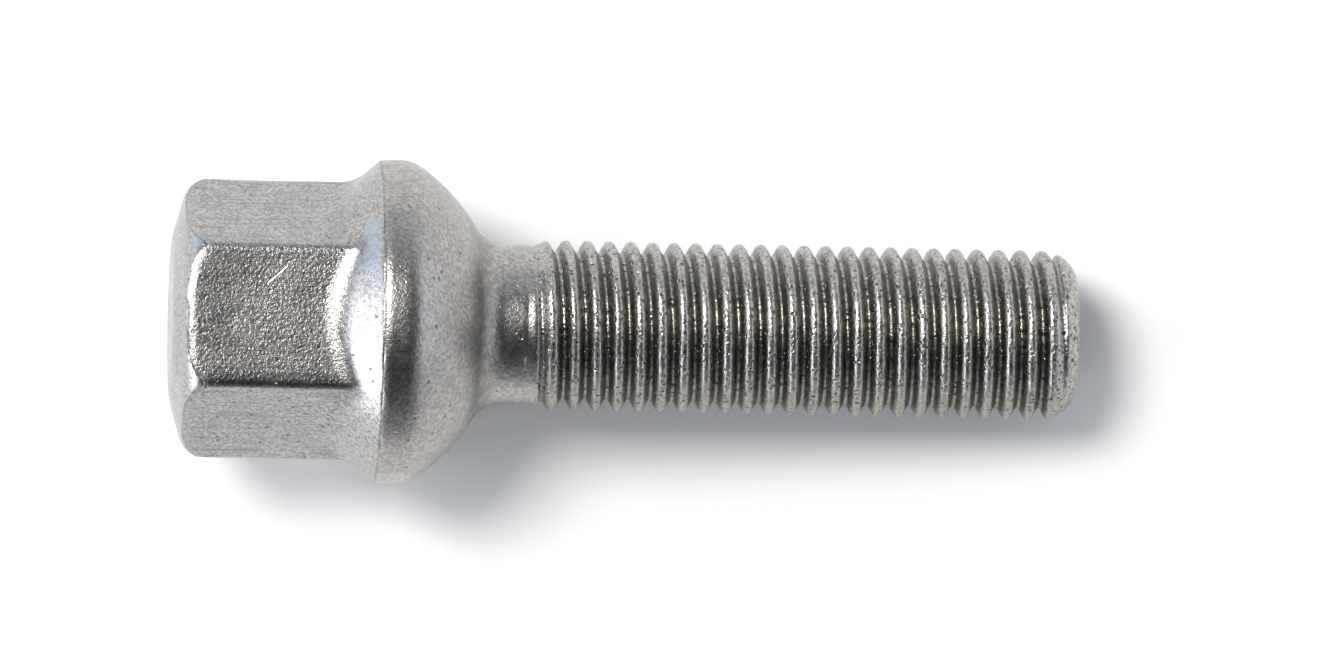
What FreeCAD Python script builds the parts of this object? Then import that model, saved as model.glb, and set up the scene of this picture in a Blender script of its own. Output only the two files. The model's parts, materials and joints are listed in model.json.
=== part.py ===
"""A forged wheel bolt in one piece: hexagon head, flange with a ball seat, plain neck and rolled thread.

It stands on the end of its head, because it would roll if it lay on its rim.
"""
import math
import os

import FreeCAD
import Part

# sizes in millimetres and degrees
OVERALL_LENGTH = 62.4
HEX_ACROSS_FLATS = 16.8
HEX_CORNER_RADIUS = 0.65
HEX_TURN = -2.0
CROWN_FLAT_DIAMETER = 11.0
CROWN_DIAMETER = 16.7
CROWN_HEIGHT = 0.8
CHAMFER_HEIGHT = 1.6
HEAD_LENGTH = 14.2
FLANGE_DIAMETER = 22.4
FLANGE_CONE_ANGLE = 42.0
FLANGE_FILLET_RADIUS = 1.8
RIM_WIDTH = 2.15
RIM_BACK_RADIUS = 0.25
RIM_FRONT_RADIUS = 1.1
SEAT_RADIUS = 13.0
NECK_RADIUS = 2.2
SHANK_DIAMETER = 11.0
SHANK_LENGTH = 2.3
THREAD_MAJOR_DIAMETER = 11.8
THREAD_START_LENGTH = 0.5
TIP_DIAMETER = 8.9
TIP_LENGTH = 2.2

# how far one shape reaches into or past another, so that no two surfaces only touch
CORNER_ALLOWANCE = 0.12
FILLET_INSET = 0.08

# two points closer than this are one
SAME_POINT = 1e-6

HEX_SIDES = 6

Vector = FreeCAD.Vector
ORIGIN = Vector(0, 0, 0)
AXIS = Vector(0, 0, 1)


class Outline:
    """A closed line of straight and round runs in the XZ plane, given as radius and height."""

    def __init__(self, radius, height):
        self.start = self.at(radius, height)
        self.end = self.start
        self.edges = []

    @staticmethod
    def at(radius, height):
        """The point of the XZ plane at this radius and height."""
        return Vector(radius, 0, height)

    def line(self, radius, height):
        """Go straight to a point."""
        point = self.at(radius, height)
        self.edges.append(Part.LineSegment(self.end, point).toShape())
        self.end = point

    def arc(self, centre, radius, start_angle, end_angle):
        """Go along a circle. Angles in degrees run from the radius direction towards the height direction."""
        points = []
        for angle in (start_angle, (start_angle + end_angle) / 2, end_angle):
            turn = math.radians(angle)
            points.append(self.at(centre[0] + radius * math.cos(turn), centre[1] + radius * math.sin(turn)))
        if (points[0] - self.end).Length > SAME_POINT:
            self.line(points[0].x, points[0].z)
        self.edges.append(Part.Arc(self.end, points[1], points[2]).toShape())
        self.end = points[2]

    def face(self):
        """The flat face inside the line."""
        self.line(self.start.x, self.start.z)
        return Part.Face(Part.Wire(self.edges))


def hex_corner_radius():
    """Half the width over the rounded corners of the hexagon."""
    half_angle = math.pi / HEX_SIDES
    sharp = HEX_ACROSS_FLATS / 2 / math.cos(half_angle)
    return sharp - HEX_CORNER_RADIUS * (1 / math.cos(half_angle) - 1)


def hex_prism():
    """The hexagon from the end of the head to the middle of the flange's rim, one flat towards Y."""
    half_angle = math.pi / HEX_SIDES
    sharp = HEX_ACROSS_FLATS / 2 / math.cos(half_angle)
    centre = sharp - HEX_CORNER_RADIUS / math.cos(half_angle)
    turn = math.radians(HEX_TURN) + math.pi / 2 + half_angle
    corners = []
    for side in range(HEX_SIDES):
        middle = turn + 2 * half_angle * side
        arc = []
        for angle in (middle - half_angle, middle, middle + half_angle):
            x = centre * math.cos(middle) + HEX_CORNER_RADIUS * math.cos(angle)
            y = centre * math.sin(middle) + HEX_CORNER_RADIUS * math.sin(angle)
            arc.append(Vector(x, y, 0))
        corners.append(arc)
    edges = []
    for arc, following in zip(corners, corners[1:] + corners[:1]):
        edges.append(Part.Arc(*arc).toShape())
        edges.append(Part.LineSegment(arc[-1], following[0]).toShape())
    return Part.Face(Part.Wire(edges)).extrude(AXIS * (HEAD_LENGTH + RIM_WIDTH / 2))


def crown():
    """What the hexagon is turned down to: a flat end, a shallow cone and a rounded chamfer."""
    outer = hex_corner_radius() + CORNER_ALLOWANCE
    rise = outer - CROWN_DIAMETER / 2
    radius = (CHAMFER_HEIGHT**2 + rise**2) / (2 * rise)
    centre = (outer - radius, CROWN_HEIGHT + CHAMFER_HEIGHT)
    start = math.degrees(math.atan2(-CHAMFER_HEIGHT, radius - rise))
    outline = Outline(0, 0)
    outline.line(CROWN_FLAT_DIAMETER / 2, 0)
    outline.line(CROWN_DIAMETER / 2, CROWN_HEIGHT)
    outline.arc(centre, radius, start, 0)
    outline.line(outer, HEAD_LENGTH + RIM_WIDTH)
    outline.line(0, HEAD_LENGTH + RIM_WIDTH)
    return outline.face().revolve(ORIGIN, AXIS, 360)


class TurnedBody:
    """What is turned about the axis, from the flange's cone to the tip: rim, ball seat, neck, shank and thread."""

    def __init__(self):
        self.rim = FLANGE_DIAMETER / 2
        self.shank = SHANK_DIAMETER / 2
        self.major = THREAD_MAJOR_DIAMETER / 2
        self.seat_centre = HEAD_LENGTH + RIM_WIDTH - math.sqrt(SEAT_RADIUS**2 - self.rim**2)
        neck_reach = math.sqrt((SEAT_RADIUS + NECK_RADIUS) ** 2 - (self.shank + NECK_RADIUS) ** 2)
        self.neck_end = self.seat_centre + neck_reach
        self.thread_start = self.neck_end + SHANK_LENGTH
        front = SEAT_RADIUS - RIM_FRONT_RADIUS
        self.front_centre = (
            self.rim - RIM_FRONT_RADIUS,
            self.seat_centre + math.sqrt(front**2 - (self.rim - RIM_FRONT_RADIUS) ** 2),
        )
        rise = self.major - TIP_DIAMETER / 2
        self.tip_radius = (TIP_LENGTH**2 + rise**2) / (2 * rise)
        self.tip_centre = (self.major - self.tip_radius, OVERALL_LENGTH - TIP_LENGTH)

    def flange_outline(self):
        """The outline from inside the hexagon over the cone to the back of the rim."""
        slope = math.radians(FLANGE_CONE_ANGLE)
        foot = HEX_ACROSS_FLATS / 2 - FILLET_INSET
        back_rise = RIM_BACK_RADIUS * math.tan((math.pi / 2 - slope) / 2)
        back_centre = (self.rim - RIM_BACK_RADIUS, HEAD_LENGTH + back_rise)
        cone_foot = HEAD_LENGTH - (self.rim - foot) / math.tan(slope)
        fillet_start = cone_foot - FLANGE_FILLET_RADIUS * math.tan(slope / 2)
        fillet_centre = (foot + FLANGE_FILLET_RADIUS, fillet_start)
        outline = Outline(0, fillet_start - FLANGE_FILLET_RADIUS)
        outline.line(foot, fillet_start - FLANGE_FILLET_RADIUS)
        outline.arc(fillet_centre, FLANGE_FILLET_RADIUS, 180, 90 + FLANGE_CONE_ANGLE)
        outline.arc(back_centre, RIM_BACK_RADIUS, FLANGE_CONE_ANGLE - 90, 0)
        return outline

    def solid(self):
        """The body of revolution. The rod has the thread's major diameter."""
        neck_centre = (self.shank + NECK_RADIUS, self.neck_end)
        seat_turn = math.degrees(math.atan2(self.front_centre[1] - self.seat_centre, self.front_centre[0]))
        neck_turn = math.degrees(math.atan2(self.neck_end - self.seat_centre, self.shank + NECK_RADIUS))
        tip_turn = math.degrees(math.asin(TIP_LENGTH / self.tip_radius))
        outline = self.flange_outline()
        outline.arc(self.front_centre, RIM_FRONT_RADIUS, 0, seat_turn)
        outline.arc((0, self.seat_centre), SEAT_RADIUS, seat_turn, neck_turn)
        outline.arc(neck_centre, NECK_RADIUS, 180 + neck_turn, 180)
        outline.line(self.shank, self.thread_start)
        outline.line(self.major, self.thread_start + THREAD_START_LENGTH)
        outline.arc(self.tip_centre, self.tip_radius, 0, tip_turn)
        outline.line(0, OVERALL_LENGTH)
        return outline.face().revolve(ORIGIN, AXIS, 360)


def wheel_bolt():
    """The whole bolt as one solid, standing on the end of its head with the middle of its box over the origin."""
    head = hex_prism().common(crown())
    bolt = TurnedBody().solid().fuse(head).Solids[0]
    box = bolt.optimalBoundingBox(False, False)
    bolt.translate(Vector(-box.Center.x, -box.Center.y, -box.ZMin))
    return bolt


def main():
    """Build the bolt and write its STEP file."""
    os.makedirs("parts", exist_ok=True)
    bolt = wheel_bolt()
    bolt.exportStep("parts/wheel_bolt.step")
    box = bolt.optimalBoundingBox(False, False)
    print("valid", bolt.isValid(), "volume", round(bolt.Volume, 1), "faces", len(bolt.Faces))
    print("box", round(box.XLength, 3), round(box.YLength, 3), round(box.ZLength, 3))


main()
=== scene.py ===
"""The look of a plated wheel bolt: its finished skin and finishes, the floor, the light and the camera.

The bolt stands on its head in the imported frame. In the photograph it lies on a white surface, so the
floor, the light and the camera are laid out in the photograph's own frame and carried over to where the
bolt stands.
"""
from __future__ import annotations

import json
import logging
import math
from dataclasses import dataclass
from enum import Enum

import bpy
import numpy as np
from mathutils import Matrix, Vector

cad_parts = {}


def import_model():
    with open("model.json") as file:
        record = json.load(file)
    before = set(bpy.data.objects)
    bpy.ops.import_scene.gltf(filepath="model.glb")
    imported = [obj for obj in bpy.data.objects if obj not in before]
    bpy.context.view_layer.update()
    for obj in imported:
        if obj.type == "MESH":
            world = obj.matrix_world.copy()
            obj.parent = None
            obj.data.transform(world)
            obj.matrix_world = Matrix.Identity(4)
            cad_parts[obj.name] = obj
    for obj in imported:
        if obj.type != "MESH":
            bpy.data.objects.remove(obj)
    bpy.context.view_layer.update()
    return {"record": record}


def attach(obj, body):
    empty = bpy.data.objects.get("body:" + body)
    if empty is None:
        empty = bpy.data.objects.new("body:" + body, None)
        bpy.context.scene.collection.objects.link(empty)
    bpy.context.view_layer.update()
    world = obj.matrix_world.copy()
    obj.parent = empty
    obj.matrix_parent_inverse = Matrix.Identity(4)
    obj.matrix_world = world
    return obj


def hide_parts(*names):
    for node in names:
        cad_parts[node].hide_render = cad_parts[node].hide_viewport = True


LOG = logging.getLogger("wheel_bolt")
SEED = 849
HEX_SIDES = 6
FULL_TURN = 2 * math.pi
HALF_SIDE = math.pi / HEX_SIDES

# a distance, one value for the whole turn or one for each column of the skin
Distances = np.ndarray | float

# what goes into a shader node or comes out of it
Socket = bpy.types.NodeSocket


class Finish(Enum):
    """The finishes of the bolt's skin, in the order of its material slots."""

    HEAD = 0
    SEAT = 1
    THREAD = 2


class LitSurface(Enum):
    """What a soft light falls on: the floor alone or the bolt's metal alone."""

    FLOOR = 0
    METAL = 1


@dataclass(frozen=True)
class BoltSizes:
    """The sizes of the bolt in metres, and those of its rolled thread.

    They are the solid's own, but the chamfer of the hexagon and the front of the rim are softer here.
    """

    length: float = 0.0624
    across_flats: float = 0.0168
    hex_corner: float = 0.00065
    hex_turn: float = math.radians(-2.0)
    crown_flat: float = 0.0055
    crown: float = 0.00835
    crown_height: float = 0.0008
    chamfer_height: float = 0.0020
    corner_allowance: float = 0.00012
    head_length: float = 0.0142
    rim: float = 0.0112
    cone_angle: float = math.radians(42.0)
    rim_width: float = 0.00215
    rim_front: float = 0.0024
    seat: float = 0.013
    neck: float = 0.0022
    shank: float = 0.0055
    shank_length: float = 0.0023
    thread_major: float = 0.0059
    tip: float = 0.00445
    tip_length: float = 0.0022
    pitch: float = 0.0015
    depth_share: float = 0.547
    crest_share: float = 0.33
    root_share: float = 1.0 / 6.0
    crest_round: float = 0.00024
    root_round: float = 0.16
    root_lift: float = 0.02
    runout_share: float = 0.55
    runout_turns: float = 4.0
    ramp_lead: float = 0.0009
    swell: float = 0.00010
    climb_length: float = 0.0009
    shank_margin: float = 0.00015
    tip_fill: float = 0.65
    tip_fill_end: float = 0.0005

    @property
    def seat_centre(self) -> float:
        """Where the ball of the seat has its centre along the axis."""
        return self.head_length + self.rim_width - math.sqrt(self.seat**2 - self.rim**2)

    @property
    def neck_end(self) -> float:
        """Where the neck's fillet meets the shank."""
        across = self.shank + self.neck
        return self.seat_centre + math.sqrt((self.seat + self.neck) ** 2 - across**2)

    @property
    def thread_start(self) -> float:
        """Where the plain shank ends."""
        return self.neck_end + self.shank_length

    @property
    def ramp_start(self) -> float:
        """Where the shank starts to widen towards the thread."""
        return self.thread_start - self.ramp_lead

    @property
    def thread_join(self) -> float:
        """Where the groove reaches its full depth on the +Y side."""
        return self.thread_start + self.pitch * (1 - self.root_share)

    @property
    def depth(self) -> float:
        """The depth of the thread's groove."""
        return self.pitch * self.depth_share

    @property
    def hex_sharp(self) -> float:
        """Half the width over the hexagon's corners before they are rounded."""
        return self.across_flats / 2 / math.cos(HALF_SIDE)

    @property
    def corner_angle(self) -> float:
        """The angle of one corner of the hexagon about the axis."""
        return math.pi / 2 + self.hex_turn + HALF_SIDE

    @property
    def front_centre(self) -> tuple[float, float]:
        """The centre of the rim's front rounding, as distance along the axis and out from it."""
        out = self.rim - self.rim_front
        reach = self.seat - self.rim_front
        return self.seat_centre + math.sqrt(reach**2 - out**2), out

    @property
    def tip_radius(self) -> float:
        """The radius of the rounded tip."""
        rise = self.thread_major - self.tip
        return (self.tip_length**2 + rise**2) / (2 * rise)


class Placement:
    """Where the bolt stands in the frame, and how the photograph's floor lies to it."""

    def __init__(self, record: dict, sizes: BoltSizes) -> None:
        """Read the head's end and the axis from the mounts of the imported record.

        Args:
            record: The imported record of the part.
            sizes: The bolt's sizes.
        """
        drive = next(mount for mount in record["mounts"] if mount["name"] == "hex_drive")
        self.head_end = Vector(drive["pos_m"])
        self.axis = -Vector(drive["axis"]).normalized()
        self.upper = Vector((0.0, -1.0, 0.0))
        self.side = self.upper.cross(self.axis).normalized()
        self.sizes = sizes

    @staticmethod
    def frame(axis: Vector, side: Vector, upper: Vector, origin: Vector) -> Matrix:
        """The matrix of a frame with these X, Y and Z directions."""
        return Matrix.Translation(origin) @ Matrix((axis, side, upper)).transposed().to_4x4()

    def matrix(self) -> Matrix:
        """The bolt's own frame: X along its axis from the head's end, Z towards the photograph's camera."""
        return self.frame(self.axis, self.side, self.upper, self.head_end)

    def lying_matrix(self) -> Matrix:
        """The bolt's own frame as it lies in the photograph, on the front of its rim and on its tip.

        Returns:
            The matrix, in the photograph's frame.
        """
        sizes = self.sizes
        front = sizes.front_centre
        tip = (sizes.length - sizes.tip_length, sizes.thread_major - sizes.tip_radius)
        run, drop = tip[0] - front[0], front[1] - tip[1]
        lean = (sizes.rim_front - sizes.tip_radius) / math.hypot(run, drop)
        tilt = math.atan2(drop, run) + math.asin(lean)
        axis = Vector((math.cos(tilt), 0.0, -math.sin(tilt)))
        upper = Vector((math.sin(tilt), 0.0, math.cos(tilt)))
        height = front[0] * math.sin(tilt) + front[1] * math.cos(tilt) + sizes.rim_front
        return self.frame(axis, Vector((0.0, 1.0, 0.0)), upper, Vector((-sizes.length / 2, 0.0, height)))

    def photo_matrix(self) -> Matrix:
        """Carries the photograph's frame, floor at Z = 0 and X to the right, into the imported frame."""
        return self.matrix() @ self.lying_matrix().inverted()


class Profile:
    """The bolt's outline at every column of its skin, as rows of distance along and out from the axis."""

    def __init__(self, columns: int) -> None:
        """Start with no rows.

        Args:
            columns: How many columns the skin has.
        """
        self.columns = columns
        self.along: list[np.ndarray] = []
        self.out: list[np.ndarray] = []
        self.edge: list[float] = []
        self.finish: list[Finish] = []

    def add(self, along: Distances, out: Distances, finish: Finish, edge: float = 0.0) -> None:
        """Add one row.

        Args:
            along: Distance along the axis.
            out: Distance out from the axis.
            finish: The finish of the skin that ends at this row.
            edge: How much of a worn edge the row is, from 0 to 1.
        """
        self.along.append(np.broadcast_to(np.asarray(along, float), (self.columns,)).copy())
        self.out.append(np.broadcast_to(np.asarray(out, float), (self.columns,)).copy())
        self.edge.append(edge)
        self.finish.append(finish)

    def straight(self, along: Distances, out: Distances, finish: Finish, rows: int) -> None:
        """Add evenly spaced rows from the last one to a new place.

        Args:
            along: The new place's distance along the axis.
            out: Its distance out from the axis.
            finish: The finish of the rows.
            rows: How many rows there are.
        """
        start_along, start_out = self.along[-1], self.out[-1]
        for step in range(1, rows + 1):
            share = step / rows
            row_along = start_along + (along - start_along) * share
            row_out = start_out + (out - start_out) * share
            self.add(row_along, row_out, finish)

    def bend(self, corner: tuple, after: tuple, reach: float, finish: Finish, rows: int,
             worn: float) -> None:
        """Go round a corner on a short curve that leaves the straight runs beside it smoothly.

        Args:
            corner: Where the two runs meet, along and out.
            after: A point on the second run, along and out.
            reach: How far from the corner the curve starts and ends, at most half of either run.
            finish: The finish of the curve.
            rows: How many rows the curve has after its first.
            worn: How much of a worn edge the middle of the curve is.
        """
        most = 0.48
        here = np.stack(np.broadcast_arrays(*corner, np.zeros(self.columns)))[:2]
        before = np.stack([self.along[-1], self.out[-1]])
        beyond = np.stack(np.broadcast_arrays(*after, np.zeros(self.columns)))[:2]
        back, ahead = before - here, beyond - here
        back_length, ahead_length = np.hypot(*back), np.hypot(*ahead)
        taken = np.minimum(reach, most * np.minimum(back_length, ahead_length))
        start, end = here + back / back_length * taken, here + ahead / ahead_length * taken
        for step in range(rows + 1):
            share = step / rows
            place = (1 - share) ** 2 * start + 2 * share * (1 - share) * here + share**2 * end
            self.add(place[0], place[1], finish, worn * (1 - abs(2 * share - 1)))

    def arc(self, centre: tuple, radius: float, start: float, end: Distances, finish: Finish,
            rows: int) -> None:
        """Add rows along a circle from the last row. Angles run from the outward direction to the tip's.

        Args:
            centre: The circle's centre, along and out.
            radius: Its radius.
            start: The angle of the last row.
            end: The angle of the last new row, one value or one for each column.
            finish: The finish of the rows.
            rows: How many rows there are.
        """
        for step in range(1, rows + 1):
            angle = start + (end - start) * step / rows
            self.add(centre[0] + radius * np.sin(angle), centre[1] + radius * np.cos(angle), finish)


@dataclass
class Wear:
    """Small dents of use and forging. Each only takes material away and never lifts the skin."""

    sizes: BoltSizes
    nicks: int = 120
    nick_width: tuple = (0.00010, 0.00028)
    nick_depth: tuple = (0.00003, 0.00011)
    head_dents: int = 40
    dent_width: tuple = (0.0002, 0.0006)
    dent_depth: tuple = (0.00001, 0.00005)
    wave: float = 0.00002
    wave_turns: tuple = (2, 3, 5, 7)
    wave_stretch: tuple = (150.0, 500.0)
    ragged: float = 0.00012
    ragged_turns: tuple = (23, 37, 61)
    crest_fade: float = 3.0
    axis_fade: float = 5.0
    axis_clear: float = 2.0
    end_fade: float = 0.0004

    def depth(self, table: np.ndarray) -> np.ndarray:
        """How far each point is pushed in.

        Args:
            table: One row for each point: its distance along the axis and out from it, its angle about
                the axis, how much of a worn edge it is on and how deep in the thread's groove it is.

        Returns:
            The depth of wear at each point.
        """
        along, out, angle, edge, deep = table.T
        sizes = self.sizes
        random = np.random.default_rng(SEED)
        push = np.zeros_like(along)
        for turns in self.wave_turns:
            phase = random.uniform(0.0, FULL_TURN)
            stretch = random.uniform(*self.wave_stretch)
            push += self.wave / len(self.wave_turns) * (1 + np.sin(turns * angle + stretch * along + phase))
        for turns in self.ragged_turns:
            notch = np.clip(np.sin(turns * angle + random.uniform(0.0, FULL_TURN)), 0.0, 1.0)
            push += self.ragged / len(self.ragged_turns) * edge * notch
        crest = np.clip(1 - self.crest_fade * deep, 0.0, 1.0)
        thread = (sizes.thread_start + sizes.pitch, sizes.length - sizes.tip_length / 2)
        for _ in range(self.nicks):
            place = (random.uniform(*thread), random.uniform(0.0, FULL_TURN))
            width, depth = random.uniform(*self.nick_width), random.uniform(*self.nick_depth)
            push += crest * self.dent(table, place, width, depth)
        head = (sizes.crown_height + sizes.chamfer_height, sizes.head_length + sizes.rim_width)
        for _ in range(self.head_dents):
            place = (random.uniform(*head), random.uniform(0.0, FULL_TURN))
            width, depth = random.uniform(*self.dent_width), random.uniform(*self.dent_depth)
            push += self.dent(table, place, width, depth)
        body = np.clip(self.axis_fade * out / sizes.shank - self.axis_clear, 0.0, 1.0)
        inside_ends = np.clip(np.minimum(along, sizes.length - along) / self.end_fade, 0.0, 1.0)
        return push * body * inside_ends

    @staticmethod
    def dent(table: np.ndarray, place: tuple, width: float, depth: float) -> np.ndarray:
        """A shallow round dent.

        Args:
            table: The points, as in depth.
            place: The dent's middle, as distance along and angle about the axis.
            width: How far from its middle it has mostly faded.
            depth: Its depth at the middle.

        Returns:
            The depth of the dent at each point.
        """
        along, out, angle = table.T[:3]
        across = out * (np.mod(angle - place[1] + math.pi, FULL_TURN) - math.pi)
        return depth * np.exp(-((along - place[0]) ** 2 + across**2) / width**2)


class SkinMesh:
    """The points and faces of the skin as they are added."""

    def __init__(self) -> None:
        """Start with nothing."""
        self.points: list[tuple] = []
        self.faces: list[list[int]] = []
        self.finishes: list[int] = []

    def put(self, along: float, out: float, angle: float, edge: float = 0.0, deep: float = 0.0) -> int:
        """Add one point and return its number."""
        self.points.append((along, out, angle, edge, deep))
        return len(self.points) - 1

    def face(self, corners: list[int], finish: Finish) -> None:
        """Add one face, leaving out points that have run together.

        Args:
            corners: The numbers of its points.
            finish: Its finish.
        """
        kept = [corner for index, corner in enumerate(corners) if corner != corners[index - 1]]
        if len(kept) > 2:
            self.faces.append(kept[::-1])
            self.finishes.append(finish.value)

    def bridge(self, ring: list[int], following: list[int], finish: Finish) -> None:
        """Add the band of faces between two rings of as many points.

        Args:
            ring: The points of the first ring.
            following: The points of the second ring.
            finish: The finish of the band.
        """
        for index in range(len(ring)):
            after = (index + 1) % len(ring)
            self.face([ring[index], following[index], following[after], ring[after]], finish)

    def mesh(self, wear: Wear) -> bpy.types.Mesh:
        """Make the mesh.

        Args:
            wear: The dents to press into it.

        Returns:
            The mesh, with point attributes for worn edges and for depth in the thread.
        """
        table = np.array(self.points)
        out = table[:, 1] - wear.depth(table)
        places = np.stack([table[:, 0], out * np.cos(table[:, 2]), out * np.sin(table[:, 2])], axis=1)
        mesh = bpy.data.meshes.new("wheel_bolt_skin")
        mesh.from_pydata(places.tolist(), [], self.faces)
        mesh.polygons.foreach_set("material_index", self.finishes)
        mesh.polygons.foreach_set("use_smooth", [True] * len(self.faces))
        for name, column in (("worn_edge", 3), ("groove_depth", 4)):
            attribute = mesh.attributes.new(name, "FLOAT", "POINT")
            attribute.data.foreach_set("value", table[:, column])
        mesh.update()
        return mesh


@dataclass(frozen=True)
class SkinRows:
    """How many rows each stretch of the skin has, from the head's end to the shank."""

    end_edge: int = 5
    end_cone: int = 4
    chamfer: int = 6
    chamfer_edge: int = 6
    flats: int = 14
    fillet: int = 12
    cone: int = 5
    rim_edge: int = 6
    rim_crown: int = 5
    rim: int = 3
    rim_front: int = 8
    seat: int = 22
    neck: int = 12
    shank: int = 5


@dataclass
class BoltSkin:
    """The bolt's surface as one closed mesh, from the middle of the head's end to the middle of the tip."""

    sizes: BoltSizes
    rows: SkinRows = SkinRows()
    flat_columns: int = 16
    corner_columns: int = 7
    corner_spread: float = math.radians(2.6)
    end_shares: tuple = (0.25, 0.5, 0.75)
    crown_reach: float = 0.0012
    chamfer_share: float = 0.75
    edge_reach: float = 0.00013
    edge_run: float = 4.0
    fillet_reach: float = 0.0024
    rim_edge_reach: float = 0.00014
    rim_edge_run: float = 2.0
    rim_drop: float = 0.00008
    rim_crown: float = 0.0009
    rim_crown_share: float = 0.3
    waist: float = 0.00004
    groove_rows: tuple = (0.0, 0.055, 0.11, 0.17, 0.25, 0.33, 0.37, 0.41, 0.45)
    turns_before: int = 2
    spare_turns: int = 3
    tip_shares: tuple = (0.9, 0.6, 0.3)
    same_place: float = 1e-6

    def __post_init__(self) -> None:
        """Work out the angle of every column, with more of them at the corners of the hexagon."""
        offsets = list(np.linspace(-self.corner_spread, self.corner_spread, self.corner_columns))
        flat = np.linspace(self.corner_spread, 2 * HALF_SIDE - self.corner_spread, self.flat_columns + 2)
        offsets += list(flat[1:-1])
        start = self.sizes.corner_angle
        angles = [start + 2 * HALF_SIDE * side + offset for side in range(HEX_SIDES) for offset in offsets]
        self.angles = np.sort(np.mod(angles, FULL_TURN))
        self.columns = len(self.angles)

    def hex_out(self) -> np.ndarray:
        """The distance of the rounded hexagon from the axis.

        Returns:
            The distance at every column.
        """
        sizes = self.sizes
        centre = sizes.hex_sharp - sizes.hex_corner / math.cos(HALF_SIDE)
        offset = np.mod(self.angles - sizes.corner_angle + HALF_SIDE, 2 * HALF_SIDE) - HALF_SIDE
        flat = sizes.across_flats / 2 / np.cos(HALF_SIDE - np.abs(offset))
        inside = np.maximum(sizes.hex_corner**2 - (centre * np.sin(offset)) ** 2, 0.0)
        rounded = centre * np.cos(offset) + np.sqrt(inside)
        tangent_out = centre + sizes.hex_corner * math.cos(HALF_SIDE)
        tangent = math.atan2(sizes.hex_corner * math.sin(HALF_SIDE), tangent_out)
        return np.where(np.abs(offset) < tangent, rounded, flat)

    def head_profile(self) -> Profile:
        """The outline from the middle of the head's end to the start of the thread.

        Returns:
            The profile with all its rows.
        """
        sizes, rows = self.sizes, self.rows
        profile = Profile(self.columns)
        hexagon = self.hex_out()
        self.add_crown(profile, hexagon)
        slope = math.tan(sizes.cone_angle)
        cone_foot = sizes.head_length - (sizes.rim - self.rim_drop - hexagon) / slope
        rim_back = sizes.rim - self.rim_drop
        rim_edge = (sizes.head_length, rim_back)
        profile.straight(cone_foot - self.fillet_reach, hexagon, Finish.HEAD, rows.flats)
        self.add_waist(profile)
        profile.bend((cone_foot, hexagon), rim_edge, self.fillet_reach, Finish.HEAD, rows.fillet, 0.0)
        back = self.rim_edge_run * self.rim_edge_reach
        profile.straight(sizes.head_length - back, rim_back - back * slope, Finish.HEAD, rows.cone)
        front = sizes.front_centre
        crown_middle = (sizes.head_length + self.rim_crown / 2, sizes.rim)
        crown_reach = self.rim_crown * self.rim_crown_share
        profile.bend(rim_edge, crown_middle, self.rim_edge_reach, Finish.SEAT, rows.rim_edge, 1.0)
        profile.bend(crown_middle, (front[0], sizes.rim), crown_reach, Finish.SEAT, rows.rim_crown, 0.0)
        profile.straight(front[0], sizes.rim, Finish.SEAT, rows.rim)
        seat_turn = math.atan2(front[0] - sizes.seat_centre, front[1])
        neck_turn = math.atan2(sizes.neck_end - sizes.seat_centre, sizes.shank + sizes.neck)
        profile.arc(front, sizes.rim_front, 0.0, seat_turn, Finish.SEAT, rows.rim_front)
        profile.arc((sizes.seat_centre, 0.0), sizes.seat, seat_turn, neck_turn, Finish.SEAT, rows.seat)
        neck = (sizes.neck_end, sizes.shank + sizes.neck)
        profile.arc(neck, sizes.neck, math.pi + neck_turn, math.pi, Finish.SEAT, rows.neck)
        profile.straight(sizes.ramp_start, sizes.shank, Finish.SEAT, rows.shank)
        return profile

    def add_crown(self, profile: Profile, hexagon: np.ndarray) -> None:
        """Add the flat end, its shallow cone and the rounded chamfer that runs out on the flats.

        Args:
            profile: The profile to add to.
            hexagon: The hexagon's distance from the axis at every column.
        """
        sizes, rows = self.sizes, self.rows
        for share in self.end_shares:
            profile.add(0.0, sizes.crown_flat * share, Finish.HEAD)
        end_edge, cone_end = (0.0, sizes.crown_flat), (sizes.crown_height, sizes.crown)
        profile.bend(end_edge, cone_end, self.crown_reach, Finish.HEAD, rows.end_edge, 0.0)
        outer = sizes.hex_sharp - sizes.hex_corner * (1 / math.cos(HALF_SIDE) - 1) + sizes.corner_allowance
        rise = outer - sizes.crown
        radius = (sizes.chamfer_height**2 + rise**2) / (2 * rise)
        centre = (sizes.crown_height + sizes.chamfer_height, outer - radius)
        start = math.atan2(-sizes.chamfer_height, radius - rise)
        profile.straight(sizes.crown_height, sizes.crown, Finish.HEAD, rows.end_cone)
        end = -np.arccos(np.clip((hexagon - centre[1]) / radius, -1.0, 1.0))
        meet = (centre[0] + radius * np.sin(end), hexagon)
        most_of_arc = start + (end - start) * self.chamfer_share
        profile.arc(centre, radius, start, most_of_arc, Finish.HEAD, rows.chamfer)
        beyond = (meet[0] + self.edge_run * self.edge_reach, hexagon)
        profile.bend(meet, beyond, self.edge_reach, Finish.HEAD, rows.chamfer_edge, 1.0)

    def add_waist(self, profile: Profile) -> None:
        """Draw the rows of the flats in a little at the middle, as the forging is.

        Args:
            profile: The profile, which ends with those rows.
        """
        rows = self.rows.flats
        for index in range(rows):
            share = (index + 1) / rows
            profile.out[index - rows] -= self.waist * math.sin(math.pi * share) ** 2

    @staticmethod
    def step(values: np.ndarray, low: float, high: float) -> np.ndarray:
        """A smooth step from 0 to 1 as the values go from low to high."""
        share = np.clip((values - low) / (high - low), 0.0, 1.0)
        return share * share * (3 - 2 * share)

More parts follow.
